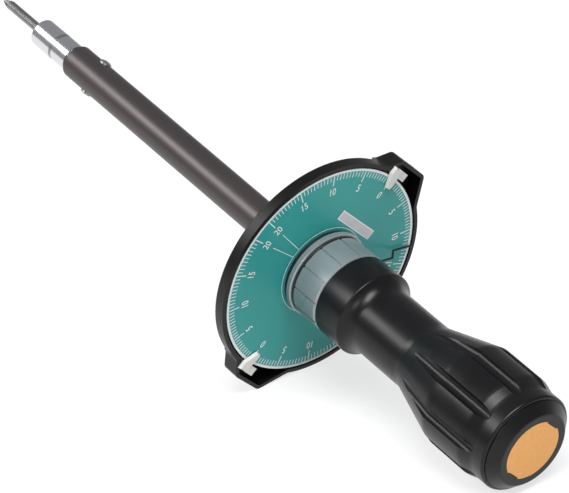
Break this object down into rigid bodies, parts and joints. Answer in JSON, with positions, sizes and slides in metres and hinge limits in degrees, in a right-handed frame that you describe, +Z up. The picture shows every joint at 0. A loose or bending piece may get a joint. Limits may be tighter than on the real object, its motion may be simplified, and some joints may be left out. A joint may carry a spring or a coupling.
{
  "type": "torque screwdriver",
  "caption": "Dial torque screwdriver: fluted grip turns a sprung scale disc past two fixed pointers and a wire memory pointer, on a long tube with a hex bit holder and a cross-point bit",
  "frame": {"origin": "on the bench, under the middle of the tool's bounding box as it lies", "axes": "+X runs along the tool towards the bit, +Z is up; the tool's own axis rises 12.68 degrees towards the bit"},
  "size_m": [0.3016, 0.0846, 0.0848],
  "materials": {
    "tube_metal": "satin",
    "holder_chrome": "polished",
    "spring_steel": "satin",
    "bit_steel": "satin",
    "screw_steel": "satin",
    "core_steel": "satin",
    "bush_brass": "satin",
    "seal_rubber": "matte",
    "housing_plastic": "satin",
    "grip_plastic": "satin",
    "insert_plastic": "satin",
    "pointer_plastic": "satin",
    "washer_plastic": "satin",
    "ring_metal": "satin",
    "plate_paint": "satin",
    "wire_steel": "satin"
  },
  "bodies": {
    "barrel": {"tube": "tube_metal", "bit_holder": "holder_chrome", "bit_retaining_ring": "spring_steel", "detent_ball": "spring_steel", "bit": "bit_steel", "holder_screw_near": "screw_steel", "holder_screw_far": "screw_steel", "torsion_bar": "spring_steel", "dial_housing": "housing_plastic", "hub_screw_upper": "screw_steel", "hub_screw_lower": "screw_steel", "pointer_right": "pointer_plastic", "pointer_left": "pointer_plastic", "thrust_washer": "washer_plastic", "tube_clip": "spring_steel"},
    "grip": {"grip_core": "core_steel", "front_bush": "bush_brass", "rear_bush": "bush_brass", "zero_ring_seal": "seal_rubber", "hub_clip": "spring_steel", "anchor_plug": "core_steel", "anchor_pin": "core_steel", "grip": "grip_plastic", "end_ring": "grip_plastic", "end_insert": "insert_plastic", "end_screw": "screw_steel"},
    "scale": {"zero_ring": "ring_metal", "scale_plate": "plate_paint", "spacer_ring": "washer_plastic", "flange_ring": "ring_metal", "plate_nut": "washer_plastic"},
    "memory": {"memory_pointer": "wire_steel"}
  },
  "joints": [
    {"name": "twist", "type": "hinge", "parent": "barrel", "child": "grip", "pos_m": [-0.03949, 0.00024, 0.04113], "axis": [0.9756, 0, 0.2194], "range_deg": [-84.6, 84.6], "stiffness_Nm_per_rad": 1.61, "deforming": ["torsion_bar"]},
    {"name": "zero_adjust", "type": "hinge", "parent": "grip", "child": "scale", "pos_m": [-0.03949, 0.00024, 0.04113], "axis": [0.9756, 0, 0.2194], "continuous": true},
    {"name": "memory_turn", "type": "hinge", "parent": "barrel", "child": "memory", "pos_m": [-0.03949, 0.00024, 0.04113], "axis": [0.9756, 0, 0.2194], "range_deg": [-49, 125]}
  ]
}
